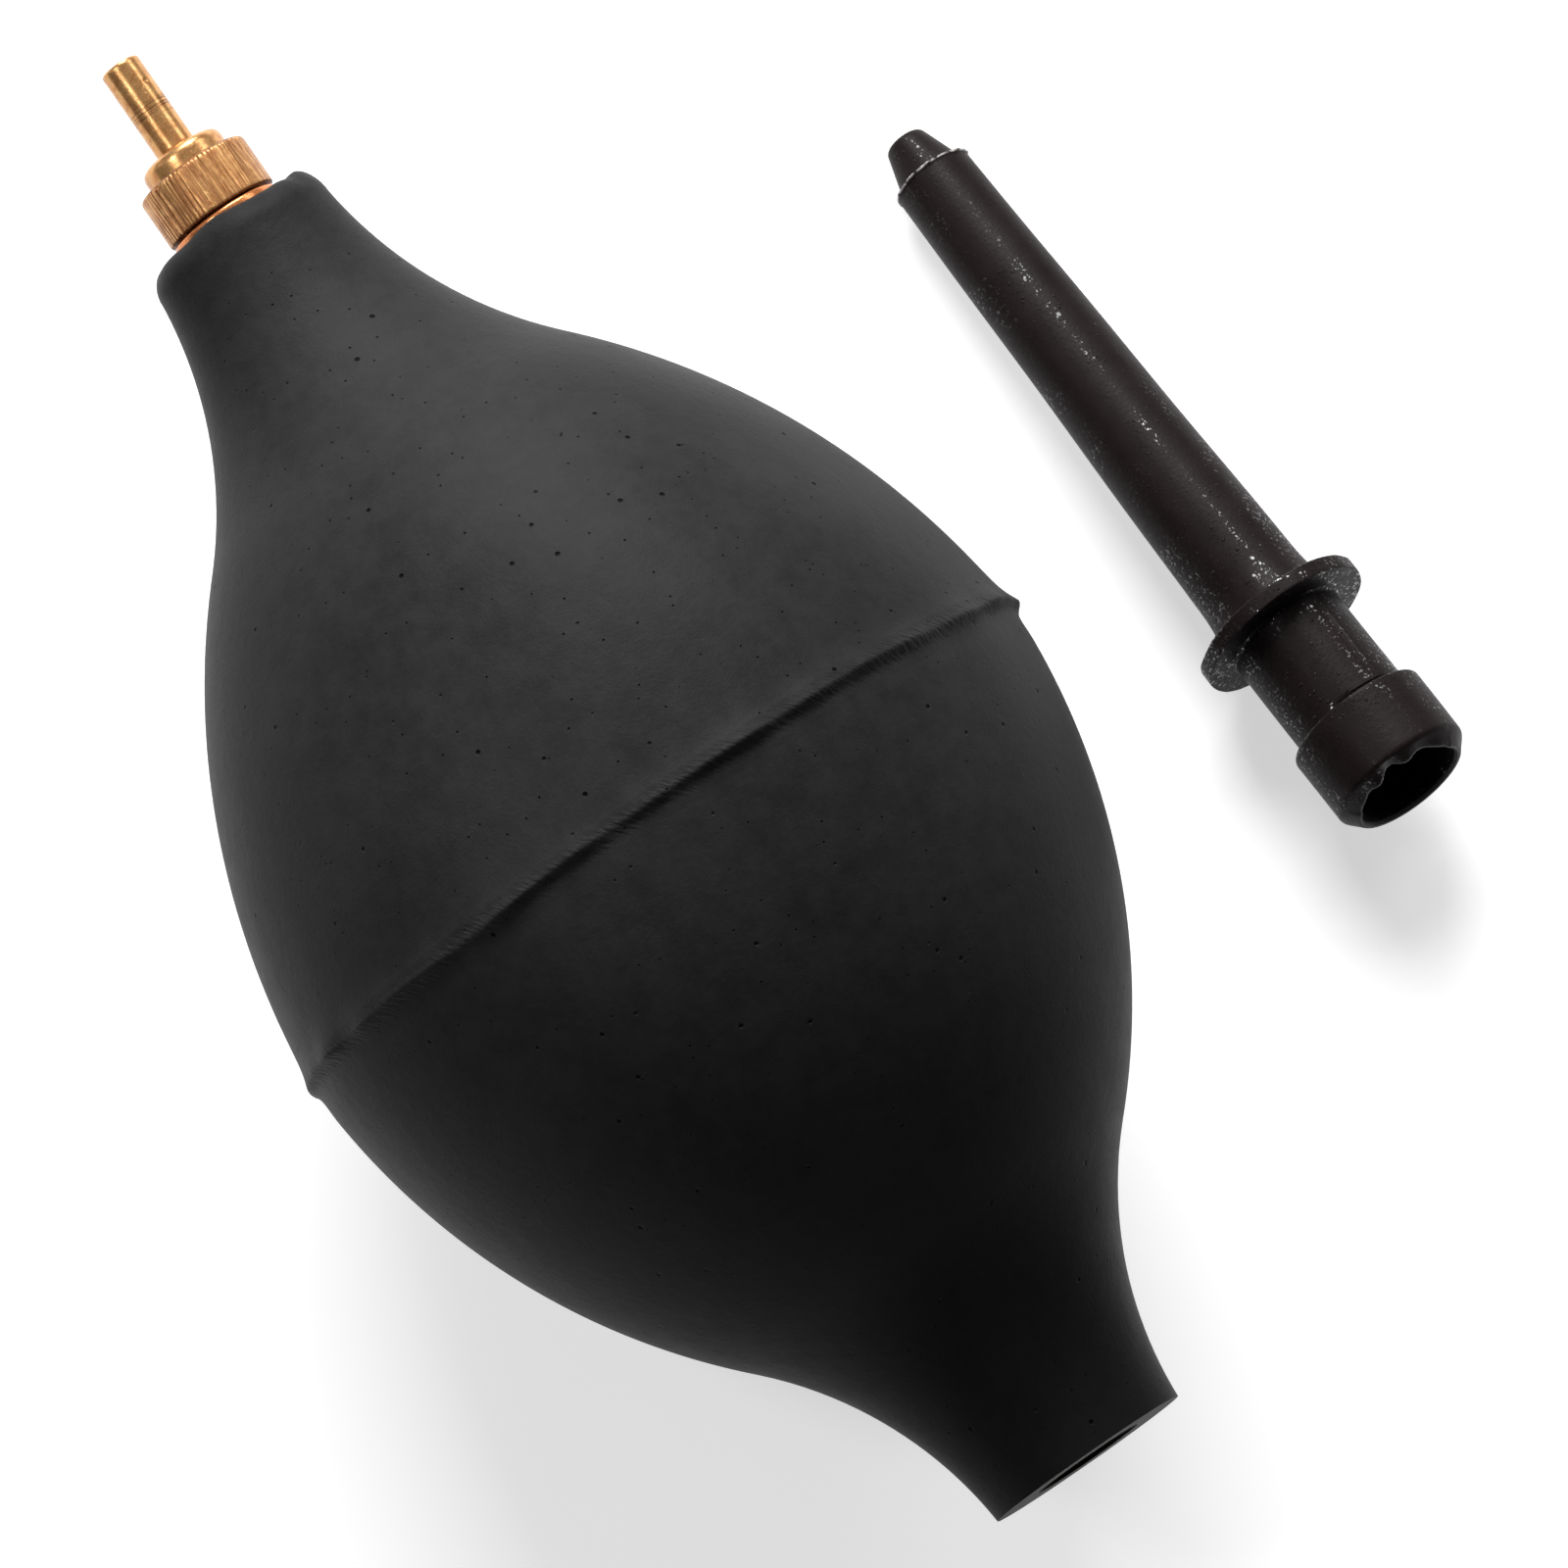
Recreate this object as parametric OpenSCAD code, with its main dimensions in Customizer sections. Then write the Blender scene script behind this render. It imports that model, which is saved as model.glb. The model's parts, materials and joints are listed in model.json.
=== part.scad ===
// Dust blower bulb: a squeezable rubber bulb with a brass jet fitting in its front
// neck, a brass inlet valve in its rear neck, and a loose plug-in plastic nozzle.
// Units are millimetres. The bulb and the nozzle lie at rest on the floor, z = 0.
// +X is the way the jet blows, +Z is up, and the origin is below the middle of the box.

/* [Rubber bulb] */
// Radius of the bulb's skin at its widest circle
belly_r = 31.5; // [29:0.1:34]
// Radius of the moulding ridge round that circle
ridge_r = 32; // [31.8:0.1:35]
// Half the width of the ridge's foot
ridge_foot = 0.9; // [0.4:0.1:1.5]
// Thickness of the rubber wall
wall = 2.6; // [1.8:0.1:3.5]
// Length from the widest circle to the front end
front_len = 57; // [54:0.5:62]
// Radius of the arc along the front half's belly
front_belly_arc = 60.4; // [58:0.1:62]
// How far that arc's centre lies behind the widest circle
front_belly_back = 5.1; // [4:0.1:6]
// Radius of the arc along the front neck
front_neck_arc = 34; // [32:0.5:36]
// Smallest radius of the front neck
front_neck_r = 7.3; // [7:0.1:8]
// Rounding of the front neck's end
front_round = 2.6; // [1:0.1:2.7]
// Length from the widest circle to the rear end
rear_len = 54.8; // [52:0.1:56.8]
// Radius of the arc along the rear half's belly
rear_belly_arc = 53.5; // [51:0.1:55]
// How far that arc's centre lies in front of the widest circle
rear_belly_fore = 1.4; // [0.8:0.1:2]
// Radius of the arc along the rear neck
rear_neck_arc = 30.3; // [29:0.1:32]
// Smallest radius of the rear neck
rear_neck_r = 8; // [7.6:0.1:8.6]
// Radius of the bore moulded through both necks
neck_bore_r = 4.4; // [4.2:0.05:4.6]
// Length of that bore in each neck
neck_bore_len = 8.2; // [7:0.1:8.4]

/* [Squeezed wall] */
// Half the length of the patch of wall that the thumb presses in
press_half_len = 30; // [20:1:32]
// Half the width of that patch
press_half_wide = 20; // [14:1:21]
// Gap round the patch
press_gap = 0.3; // [0.2:0.05:0.5]

/* [Brass outlet valve] */
// Radius of the barrel gripped by the rubber
barrel_r = 4.5; // [4.4:0.05:4.8]
// Radius of the retaining bead behind the bore
bead_r = 5.3; // [5:0.1:5.6]
// Length of the retaining bead
bead_len = 3.2; // [2.5:0.1:3.4]
// Bevel on the bead's edges
bead_bevel = 0.6; // [0.3:0.1:1]
// Length of barrel that shows past the rubber
barrel_shows = 0.3; // [0.2:0.1:1.5]
// Outside radius of the threaded spigot
thread_r = 3.8; // [3.6:0.05:3.85]
// Length of the threaded spigot
thread_len = 2.35; // [2.3:0.05:2.6]

/* [Valve balls] */
// Radius of each steel ball
ball_r = 2; // [1.8:0.1:2.2]
// Radius of the air hole under each ball
seat_hole_r = 1.2; // [1:0.1:1.3]
// Radius of the chamber round each ball
chamber_r = 2.6; // [2.4:0.1:2.8]
// Distance from the outlet fitting's inner end to the top of its air hole
outlet_seat_at = 6.6; // [5:0.1:7]
// How far the inlet ball may lift
inlet_lift = 0.9; // [0.5:0.1:1.2]
// How far the inlet fitting's face lies inside the rubber's rear end
inlet_recess = 0.5; // [0.3:0.1:1]
// Thickness of the perforated retainer
retainer_t = 0.8; // [0.6:0.1:1]
// Number of air holes in the retainer
retainer_holes = 3; // [3:1:5]
// Radius of each of those holes
retainer_hole_r = 0.55; // [0.4:0.05:0.7]
// Distance of those holes from the axis
retainer_hole_at = 1.4; // [1.2:0.1:1.6]

/* [Outlet spring] */
// Mean radius of the coil
coil_r = 1.5; // [1.3:0.05:1.6]
// Radius of the spring wire
wire_r = 0.15; // [0.12:0.01:0.2]
// Number of turns
coil_turns = 5; // [3:1:7]
// Number of steps in each turn
coil_steps = 14; // [12:1:24]
// Number of sides of the wire's section
wire_sides = 8; // [6:1:12]

/* [Jet and knurled nut] */
// Thickness of the fibre sealing washer
washer_t = 0.5; // [0.4:0.1:0.8]
// Radius of the collar's clamped flange
flange_r = 3.72; // [3.6:0.01:3.75]
// Thickness of that flange
flange_t = 0.7; // [0.5:0.1:1]
// Radius of the collar's boss
boss_r = 3.4; // [3.2:0.05:3.45]
// Height of the boss above the flange
boss_h = 2.5; // [2:0.1:3.5]
// Rounding of the boss's edge
boss_round = 0.7; // [0.3:0.1:1.2]
// Outside diameter of the jet tube, 1/8 inch stock
tube_d = 3.175; // [3:0.005:3.5]
// Bore of the jet tube
tube_bore_d = 1.6; // [1.2:0.1:2.2]
// Length of tube that shows past the boss
tube_shows = 7.8; // [5:0.1:20]
// Radius of the tube's turned-down end, pressed into the collar
spigot_r = 1.4; // [1.3:0.05:1.5]
// Length of that turned-down end left between the boss and the full tube
relief = 0.2; // [0.1:0.05:0.5]
// Outside radius of the knurled nut
nut_r = 4.55; // [4.4:0.05:4.8]
// Height of the knurled nut
nut_h = 4.2; // [4:0.1:5]
// Thickness of the nut's end plate
nut_plate_t = 0.8; // [0.6:0.1:1]
// Number of straight knurls
knurls = 72; // [36:2:84]
// Depth of the knurls
knurl_depth = 0.16; // [0.08:0.01:0.25]
// Bevel on the edges of the nut's rim
nut_bevel = 0.35; // [0.2:0.05:0.5]

/* [Loose nozzle] */
// Length from the mouth to the tip
nozzle_len = 67; // [50:0.5:80]
// Radius of the plug-in bead
plug_bead_r = 5.75; // [5.4:0.05:6]
// Length of that bead
plug_bead_len = 7; // [5:0.5:8]
// Bevel at the mouth end of the bead
plug_bevel = 1.0; // [0.5:0.1:1.2]
// Length of that bevel along the axis
plug_bevel_len = 1.2; // [0.6:0.1:1.5]
// Bevel at the bead's shoulder
shoulder_bevel = 0.25; // [0.1:0.05:0.5]
// Radius of the barrel between the bead and the flange
plug_r = 4.78; // [4.5:0.01:5]
// Distance from the mouth to the flange
flange_at = 16.1; // [13:0.1:18]
// Radius of the flange
stop_r = 7.2; // [6.5:0.1:8]
// Thickness of the flange
stop_t = 1.3; // [1:0.1:2]
// Radius of the tube next to the flare
tube_root_r = 4.35; // [4:0.05:4.7]
// Length of the flare from the flange to the tube
flare_len = 4.4; // [3:0.1:6]
// Radius of the tube at the step before the tip
tube_end_r = 3.2; // [3:0.05:3.6]
// Length of the tapered tip
tip_len = 3.8; // [2.5:0.1:5]
// Radius of the tip at its step
tip_root_r = 2.8; // [2.3:0.05:2.9]
// Radius of the tip at its end
tip_r = 1.65; // [1.5:0.05:2.2]
// Radius of the outlet hole
outlet_r = 0.95; // [0.6:0.05:1.2]
// Radius of the bore at the mouth
mouth_r = 4.15; // [3.8:0.05:4.2]
// Thickness of the wall past the flare
root_wall = 1.25; // [1:0.05:1.5]
// Thickness of the wall where the bore starts to narrow to the outlet
end_wall = 0.9; // [0.7:0.05:1.1]
// Length over which it narrows
narrowing_len = 3; // [2:0.5:6]

/* [Resting places] */
// Where the nozzle's mouth lies along X from the bulb's widest circle
nozzle_x = -22.5; // [-40:0.1:20]
// Where the nozzle's axis lies along Y from the bulb's axis
nozzle_y = -53.2; // [-70:0.1:-45]
// How far the nozzle's tip is turned about the vertical
nozzle_yaw = -0.35; // [-5:0.05:5]

/* [Hidden] */
$fn = 96;

// Overlap of cuts that meet, clearance of loose fits, and the overshoot and the
// length of cuts that run right through a fitting
eps = 0.01;
clear = 0.05;
over = 1;
through = 20;
arc_steps = 16;
flare_steps = 6;
round_steps = 6;

// Arc of the belly: radius b, centre shift s past the widest circle, radius at that
// circle r0. Arc of the neck: radius n, smallest neck radius m. The two arcs touch.
function belly_y(r0, b, s) = r0 - sqrt(b * b - s * s);
function neck_x(r0, b, s, n, m) =
    s + sqrt(pow(b + n, 2) - pow(m + n - belly_y(r0, b, s), 2));
function meet_angle(r0, b, s, n, m) =
    atan2(neck_x(r0, b, s, n, m) - s, m + n - belly_y(r0, b, s));
function steps(from, to) = [for (i = [0:arc_steps]) from + (to - from) * i / arc_steps];
// Points [radius, distance] from the widest circle to the distance reach, set in by w
function half_line(r0, b, s, n, m, reach, w) =
    let (
        y = belly_y(r0, b, s),
        x = neck_x(r0, b, s, n, m),
        a = meet_angle(r0, b, s, n, m),
        start = asin(-s / (b - w)),
        stop = asin((x - reach) / (n + w))
    )
    concat(
        [for (t = steps(start, a)) [y + (b - w) * cos(t), s + (b - w) * sin(t)]],
        [for (t = steps(a, stop)) if (t != a)
            [m + n - (n + w) * cos(t), x - (n + w) * sin(t)]]
    );
function front_line(reach, w) = half_line(
    belly_r, front_belly_arc, -front_belly_back, front_neck_arc, front_neck_r, reach, w);
function rear_line(reach, w) = half_line(
    belly_r, rear_belly_arc, -rear_belly_fore, rear_neck_arc, rear_neck_r, reach, w);
function mirrored(pts) = [for (i = [len(pts) - 1:-1:1]) [pts[i][0], -pts[i][1]]];

// The bulb lies on its ridge and on its rear belly arc, with the jet end raised
rear_y = belly_y(belly_r, rear_belly_arc, -rear_belly_fore);
to_centre = norm([ridge_r - rear_y, rear_belly_fore]);
tilt = atan2(rear_belly_fore, ridge_r - rear_y) + acos(rear_belly_arc / to_centre);
bulb_z = ridge_r * cos(tilt);

// Stations along the bulb's axis, counted from the widest circle
front_shoulder = front_len - neck_bore_len;
rear_shoulder = -(rear_len - neck_bore_len);
outlet_in = front_shoulder - bead_len - clear;
barrel_end = front_len + barrel_shows;
thread_end = barrel_end + thread_len;
washer_end = thread_end + washer_t;
flange_end = washer_end + flange_t;
boss_end = flange_end + boss_h;
jet_end = boss_end + tube_shows;
nut_end = flange_end + nut_plate_t;
nut_start = nut_end - nut_h;
nut_bore_r = thread_r + clear;
inlet_out = -rear_len + inlet_recess;
inlet_in = rear_shoulder + bead_len + clear;
retainer_at = inlet_in - retainer_t;
// A ball of radius ball_r rests in a 45 degree seat this far above the seat's point
ball_rest = ball_r * sqrt(2) + clear;
seat_cone = chamber_r - seat_hole_r;
outlet_seat = outlet_in + outlet_seat_at;
outlet_ball_z = outlet_seat - seat_hole_r + ball_rest;
inlet_ball_z = retainer_at - inlet_lift - ball_r;
inlet_seat = inlet_ball_z - ball_rest + seat_hole_r;
coil_start = outlet_ball_z + sqrt(ball_r * ball_r - coil_r * coil_r) + wire_r + clear;
coil_end = washer_end - wire_r - clear;

// The nozzle lies on its flange's edge and on the edge of the step before its tip
step_at = nozzle_len - tip_len;
stop_end = flange_at + stop_t;
droop = atan2(stop_r - tube_end_r, step_at - stop_end);
nozzle_z = stop_end * sin(droop) + stop_r * cos(droop);
flare_foot = 0.1;
flare_r = (flare_len * flare_len) / (2 * (plug_r - tube_root_r + flare_foot));

// The box round everything at rest, which gives the origin
low_x = -rear_len * cos(tilt) - rear_end_r() * sin(tilt);
high_x = jet_end * cos(tilt) + tube_d / 2 * sin(tilt);
high_y = ridge_r;
low_y = nozzle_y + stop_end * cos(droop) * sin(nozzle_yaw) - stop_r;
bulb_x = -(low_x + high_x) / 2;
bulb_y = -(low_y + high_y) / 2;
function rear_end_r() =
    let (x = neck_x(belly_r, rear_belly_arc, -rear_belly_fore, rear_neck_arc, rear_neck_r))
    rear_neck_r + rear_neck_arc - sqrt(pow(rear_neck_arc, 2) - pow(x - rear_len, 2));

// Puts a child drawn round the Z axis on the lying bulb's axis. The child's -X is up.
module on_bulb() {
    translate([bulb_x, bulb_y, bulb_z]) rotate([0, 90 - tilt, 0]) children();
}

module on_nozzle() {
    translate([bulb_x + nozzle_x, bulb_y + nozzle_y, nozzle_z])
        rotate([0, 90 + droop, nozzle_yaw]) children();
}

module tube(r_out, r_in, z0, z1) {
    translate([0, 0, z0]) difference() {
        cylinder(r = r_out, h = z1 - z0);
        translate([0, 0, -over]) cylinder(r = r_in, h = z1 - z0 + 2 * over);
    }
}

// A stepped, bevelled solid of revolution through points [radius, height]
module turned(points) {
    rotate_extrude() polygon(points);
}

// Points of a quarter round of radius r that ends at [edge - r, top]
function rounded(edge, top, r) = [for (i = [1:round_steps])
    let (t = 90 * i / round_steps)
    [edge - r * (1 - cos(t)), top - r * (1 - sin(t))]];

// The whole moulding: outer line, then the cavity's line back inside it
module bulb_shell() {
    outer_front = front_line(front_len - front_round, 0);
    neck_edge = outer_front[len(outer_front) - 1][0];
    rounding = rounded(neck_edge, front_len, front_round);
    outer = concat(mirrored(rear_line(rear_len, 0)), outer_front, rounding);
    cavity = concat(
        mirrored(rear_line(-rear_shoulder, wall)), front_line(front_shoulder, wall));
    difference() {
        union() {
            turned(concat([[0, -rear_len]], outer, [[0, front_len]]));
            turned([
                [belly_r - over, -ridge_foot], [belly_r - clear, -ridge_foot], [ridge_r, 0],
                [belly_r - clear, ridge_foot], [belly_r - over, ridge_foot]
            ]);
        }
        turned(concat([[0, rear_shoulder]], cavity, [[0, front_shoulder]]));
        translate([0, 0, -rear_len - over])
            cylinder(r = neck_bore_r, h = rear_len + front_len + 2 * over);
    }
}

// Lens outline of the pressed patch, set in by inset, as a prism over the upper wall
module press_prism(inset) {
    long = press_half_len - inset;
    wide = press_half_wide - inset;
    lens_r = (long * long + wide * wide) / (2 * wide);
    prism_top = 40;
    prism_foot = 10;
    intersection_for(side = [-1, 1])
        translate([-prism_top, side * (lens_r - wide), 0])
            rotate([0, 90, 0]) cylinder(r = lens_r, h = prism_top - prism_foot);
}

module rubber_bulb() {
    color("#26262a") on_bulb() difference() {
        bulb_shell();
        press_prism(0);
    }
}

module thumb_wall() {
    color("#2e2e32") on_bulb() intersection() {
        bulb_shell();
        press_prism(press_gap);
    }
}

module outlet_valve_body() {
    bead_top = outlet_in + bead_len;
    color("#c89a4a") on_bulb() difference() {
        turned([
            [0, outlet_in], [bead_r - bead_bevel, outlet_in], [bead_r, outlet_in + bead_bevel],
            [bead_r, bead_top], [barrel_r, bead_top], [barrel_r, barrel_end],
            [thread_r, barrel_end], [thread_r, thread_end], [0, thread_end]
        ]);
        translate([0, 0, outlet_in - over]) cylinder(r = seat_hole_r, h = through);
        translate([0, 0, outlet_seat]) cylinder(r1 = seat_hole_r, r2 = chamber_r, h = seat_cone);
        translate([0, 0, outlet_seat + seat_cone - eps]) cylinder(r = chamber_r, h = through);
    }
}

module outlet_ball() {
    color("#b8bcc2") on_bulb() translate([0, 0, outlet_ball_z]) sphere(r = ball_r);
}

// A coil of round wire, swept ring by ring and closed at both ends
module outlet_spring() {
    rings = coil_turns * coil_steps;
    rise = (coil_end - coil_start) / rings;
    ring_points = [for (i = [0:rings], j = [0:wire_sides - 1])
        let (around = 360 * i / coil_steps, across = 360 * j / wire_sides, r = coil_r + wire_r * cos(across))
        [r * cos(around), r * sin(around), coil_start + rise * i + wire_r * sin(across)]];
    walls = [for (i = [0:rings - 1], j = [0:wire_sides - 1])
        let (a = i * wire_sides + j, b = i * wire_sides + (j + 1) % wire_sides)
        [a, a + wire_sides, b + wire_sides, b]];
    caps = [[for (j = [0:wire_sides - 1]) j], [for (j = [wire_sides - 1:-1:0]) rings * wire_sides + j]];
    color("#9aa0a6") on_bulb() polyhedron(ring_points, concat(walls, caps));
}

module jet_washer() {
    color("#8a3b24") on_bulb() tube(flange_r, chamber_r, thread_end, washer_end);
}

module jet_collar() {
    color("#cf9f4c") on_bulb() difference() {
        turned(concat(
            [[0, washer_end], [flange_r, washer_end], [flange_r, flange_end], [boss_r, flange_end]],
            [[boss_r, boss_end - boss_round]],
            rounded(boss_r, boss_end, boss_round),
            [[0, boss_end]]
        ));
        translate([0, 0, flange_end - eps]) cylinder(r = spigot_r, h = boss_h + over);
        translate([0, 0, washer_end - over]) cylinder(d = tube_bore_d, h = through);
    }
}

module jet_tube() {
    color("#d2a452") on_bulb() difference() {
        union() {
            translate([0, 0, boss_end + relief]) cylinder(d = tube_d, h = tube_shows - relief);
            translate([0, 0, flange_end]) cylinder(r = spigot_r, h = boss_h + over);
        }
        translate([0, 0, flange_end - over]) cylinder(d = tube_bore_d, h = through);
    }
}

// Straight knurls are the teeth of the outline; the rim's edges are bevelled
module knurled_nut() {
    outline = [for (i = [0:2 * knurls - 1])
        let (r = i % 2 == 0 ? nut_r : nut_r - knurl_depth, a = 180 * i / knurls)
        [r * cos(a), r * sin(a)]];
    color("#bd8a40") on_bulb() difference() {
        intersection() {
            translate([0, 0, nut_start]) linear_extrude(nut_h) polygon(outline);
            turned([
                [0, nut_start], [nut_r - nut_bevel, nut_start], [nut_r + eps, nut_start + nut_bevel],
                [nut_r + eps, nut_end - nut_bevel], [nut_r - nut_bevel, nut_end], [0, nut_end]
            ]);
        }
        translate([0, 0, nut_start - over])
            cylinder(r = nut_bore_r, h = flange_end - nut_start + over);
        translate([0, 0, flange_end - eps]) cylinder(r = boss_r + clear, h = nut_plate_t + over);
    }
}

module inlet_valve_body() {
    bead_low = inlet_in - bead_len;
    color("#b98a42") on_bulb() difference() {
        turned([
            [0, inlet_out], [barrel_r, inlet_out], [barrel_r, bead_low], [bead_r, bead_low],
            [bead_r, inlet_in - bead_bevel], [bead_r - bead_bevel, inlet_in], [0, inlet_in]
        ]);
        translate([0, 0, inlet_out - over]) cylinder(r = seat_hole_r, h = through);
        translate([0, 0, inlet_seat]) cylinder(r1 = seat_hole_r, r2 = chamber_r, h = seat_cone);
        translate([0, 0, inlet_seat + seat_cone - eps]) cylinder(r = chamber_r, h = through);
    }
}

module inlet_ball() {
    color("#b8bcc2") on_bulb() translate([0, 0, inlet_ball_z]) sphere(r = ball_r);
}

// Disc with air holes, pressed into the chamber's inner end
module inlet_retainer() {
    color("#c8a05a") on_bulb() difference() {
        translate([0, 0, retainer_at]) cylinder(r = chamber_r, h = retainer_t);
        for (i = [0:retainer_holes - 1]) rotate(i * 360 / retainer_holes)
            translate([retainer_hole_at, 0, retainer_at - over])
                cylinder(r = retainer_hole_r, h = retainer_t + 2 * over, $fn = 32);
    }
}

// One hollow moulding: bead and barrel that plug in, stop flange, flared tube and tip
module plastic_nozzle() {
    flare = [for (i = [0:flare_steps])
        let (z = flare_len * (1 - i / flare_steps))
        [tube_root_r + z * z / (2 * flare_r), stop_end + flare_len - z]];
    color("#1d1a1b") on_nozzle() difference() {
        turned(concat(
            [
                [0, 0], [plug_bead_r - plug_bevel, 0], [plug_bead_r, plug_bevel_len],
                [plug_bead_r, plug_bead_len - shoulder_bevel],
                [plug_bead_r - shoulder_bevel, plug_bead_len], [plug_r, plug_bead_len],
                [plug_r, flange_at],
                [stop_r, flange_at], [stop_r, stop_end]
            ],
            flare,
            [[tube_end_r, step_at], [tip_root_r, step_at], [tip_r, nozzle_len], [0, nozzle_len]]
        ));
        translate([0, 0, -over]) cylinder(r = mouth_r, h = flange_at);
        turned([
            [0, flange_at - over - eps], [mouth_r, flange_at - over - eps],
            [tube_root_r - root_wall, stop_end + flare_len],
            [tube_end_r - end_wall, step_at - narrowing_len],
            [outlet_r, step_at], [0, step_at]
        ]);
        translate([0, 0, step_at - over]) cylinder(r = outlet_r, h = tip_len + 2 * over);
    }
}

rubber_bulb();
thumb_wall();
outlet_valve_body();
outlet_ball();
outlet_spring();
jet_washer();
jet_collar();
jet_tube();
knurled_nut();
inlet_valve_body();
inlet_ball();
inlet_retainer();
plastic_nozzle();
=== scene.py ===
# %% [markdown]
# # A watchmaker's dust blower
# The tool is a hollow rubber bulb that blows a sharp puff of air when it is squeezed.
# It has a brass jet in its front neck, a brass inlet valve in its rear neck, and a
# loose plastic nozzle that lies beside it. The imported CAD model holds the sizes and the
# joints. This lesson gives each piece its true surface, and never moves a CAD part.

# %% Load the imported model
import json
import math

import bpy
import numpy as np
from mathutils import Matrix, Vector


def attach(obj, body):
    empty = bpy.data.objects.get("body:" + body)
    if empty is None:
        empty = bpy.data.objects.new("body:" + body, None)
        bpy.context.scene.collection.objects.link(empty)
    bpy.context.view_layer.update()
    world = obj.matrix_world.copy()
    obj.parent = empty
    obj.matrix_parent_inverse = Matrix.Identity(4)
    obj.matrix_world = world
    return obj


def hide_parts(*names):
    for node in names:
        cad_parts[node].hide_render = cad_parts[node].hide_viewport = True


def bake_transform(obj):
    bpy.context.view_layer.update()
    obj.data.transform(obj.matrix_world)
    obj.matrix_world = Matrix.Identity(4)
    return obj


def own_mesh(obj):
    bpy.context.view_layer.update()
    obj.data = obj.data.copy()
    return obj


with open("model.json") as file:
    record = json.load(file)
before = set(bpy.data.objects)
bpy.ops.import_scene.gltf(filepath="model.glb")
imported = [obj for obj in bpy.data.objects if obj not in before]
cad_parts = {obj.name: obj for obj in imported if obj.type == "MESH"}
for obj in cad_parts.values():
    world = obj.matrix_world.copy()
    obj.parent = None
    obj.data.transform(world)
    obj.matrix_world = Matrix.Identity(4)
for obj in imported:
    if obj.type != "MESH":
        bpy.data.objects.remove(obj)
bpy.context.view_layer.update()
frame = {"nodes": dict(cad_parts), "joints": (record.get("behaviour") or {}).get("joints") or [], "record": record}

MM = 0.001

# %% [markdown]
# ## Where the pieces lie
# Both the bulb and the nozzle are turned shapes that lie at a slant. Each one could be
# built upright and then placed with Blender's rotation fields, but a placing matrix worked
# out from the model's own joints and mounts can't drift away from the CAD. The bulb's axis
# is the line that the nut turns about, and the nozzle's is the line through its plug bead.

# %% Axes taken from the joints and mounts
joints = {joint["name"]: joint for joint in frame["joints"]}
mounts = {mount["name"]: mount for mount in frame["record"]["mounts"]}
DOWN = Vector((0, 0, -1))


def lying(origin, along):
    """Places a piece drawn in mm: its Z runs along it, its X points down, Y across."""
    z = Vector(along).normalized()
    x = (DOWN - DOWN.dot(z) * z).normalized()
    turn = Matrix((x, z.cross(x), z)).transposed().to_4x4()
    return Matrix.Translation(origin) @ turn @ Matrix.Scale(MM, 4)


NUT_AT = 60.0  # height of the nut's turning point above the bulb's widest circle
blow = Vector(joints["jet_lift"]["axis"])
bulb_place = lying(Vector(joints["nut_turn"]["pos_m"]) - blow * NUT_AT * MM, blow)
BEAD_MID = 3.975  # height of the middle of the plug bead's mount above the nozzle's mouth
to_mouth = Vector(mounts["nozzle_bead"]["axis"])
mouth = Vector(mounts["nozzle_bead"]["pos_m"]) + to_mouth * BEAD_MID * MM
nozzle_place = lying(mouth, -to_mouth)
TOWARD_EYE = math.radians(169)  # the side of each piece that the camera looks at
TOWARD_RIGHT = math.radians(263)  # the side that shows on the right
print("the jet rises", round(math.degrees(math.asin(blow.z)), 1), "degrees")

# %% [markdown]
# ## Turning a shape
# Every piece here is a shape of revolution with small faults in it. Blender's Screw
# modifier can turn a line, but the faults need each point's angle and height. So the mesh
# is made in code: a closed line of (radius, height) is eased at its corners, given enough
# points, turned into a grid, and pushed about by a function before the faces are made.
# Each point also keeps its unbent place in mm, so that the finishes stay put on the rubber
# when it is squeezed.

# %% Helpers that turn a line into a mesh


def eased(corners, steps=5):
    """A closed line through corners (radius, height, ease), rounded over each ease."""
    points = []
    for i, (radius, height, ease) in enumerate(corners):
        here = np.array((radius, height))
        if not ease:
            points.append(here)
            continue
        ends = [np.array(corners[k % len(corners)][:2]) - here for k in (i - 1, i + 1)]
        a, b = (here + end / np.linalg.norm(end) * ease for end in ends)
        for t in np.linspace(0, 1, steps + 1):
            points.append((1 - t) ** 2 * a + 2 * t * (1 - t) * here + t**2 * b)
    return np.array(points)


def spaced(line, gap):
    """The closed line with points added, so that no two are more than gap mm apart."""
    points = []
    for here, after in zip(line, np.roll(line, -1, axis=0)):
        parts = max(1, math.ceil(np.linalg.norm(after - here) / gap))
        points.extend(here + (after - here) * k / parts for k in range(parts))
    return np.array(points)


def built(name, rest, faces, place):
    """A piece from points in mm and faces, put in its place. It keeps its unbent points."""
    turn, move = np.array(place.to_3x3()), np.array(place.translation)
    mesh = bpy.data.meshes.new(name)
    mesh.from_pydata((rest @ turn.T + move).tolist(), [], faces)
    own = mesh.attributes.new("rest", "FLOAT_VECTOR", "POINT")
    own.data.foreach_set("vector", rest.astype(np.float32).ravel())
    mesh.shade_smooth()
    mesh.set_sharp_from_angle(angle=math.radians(42))
    piece = bpy.data.objects.new(name, mesh)
    bpy.context.scene.collection.objects.link(piece)
    print(f"{name}: {len(faces)} faces")
    return piece


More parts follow.
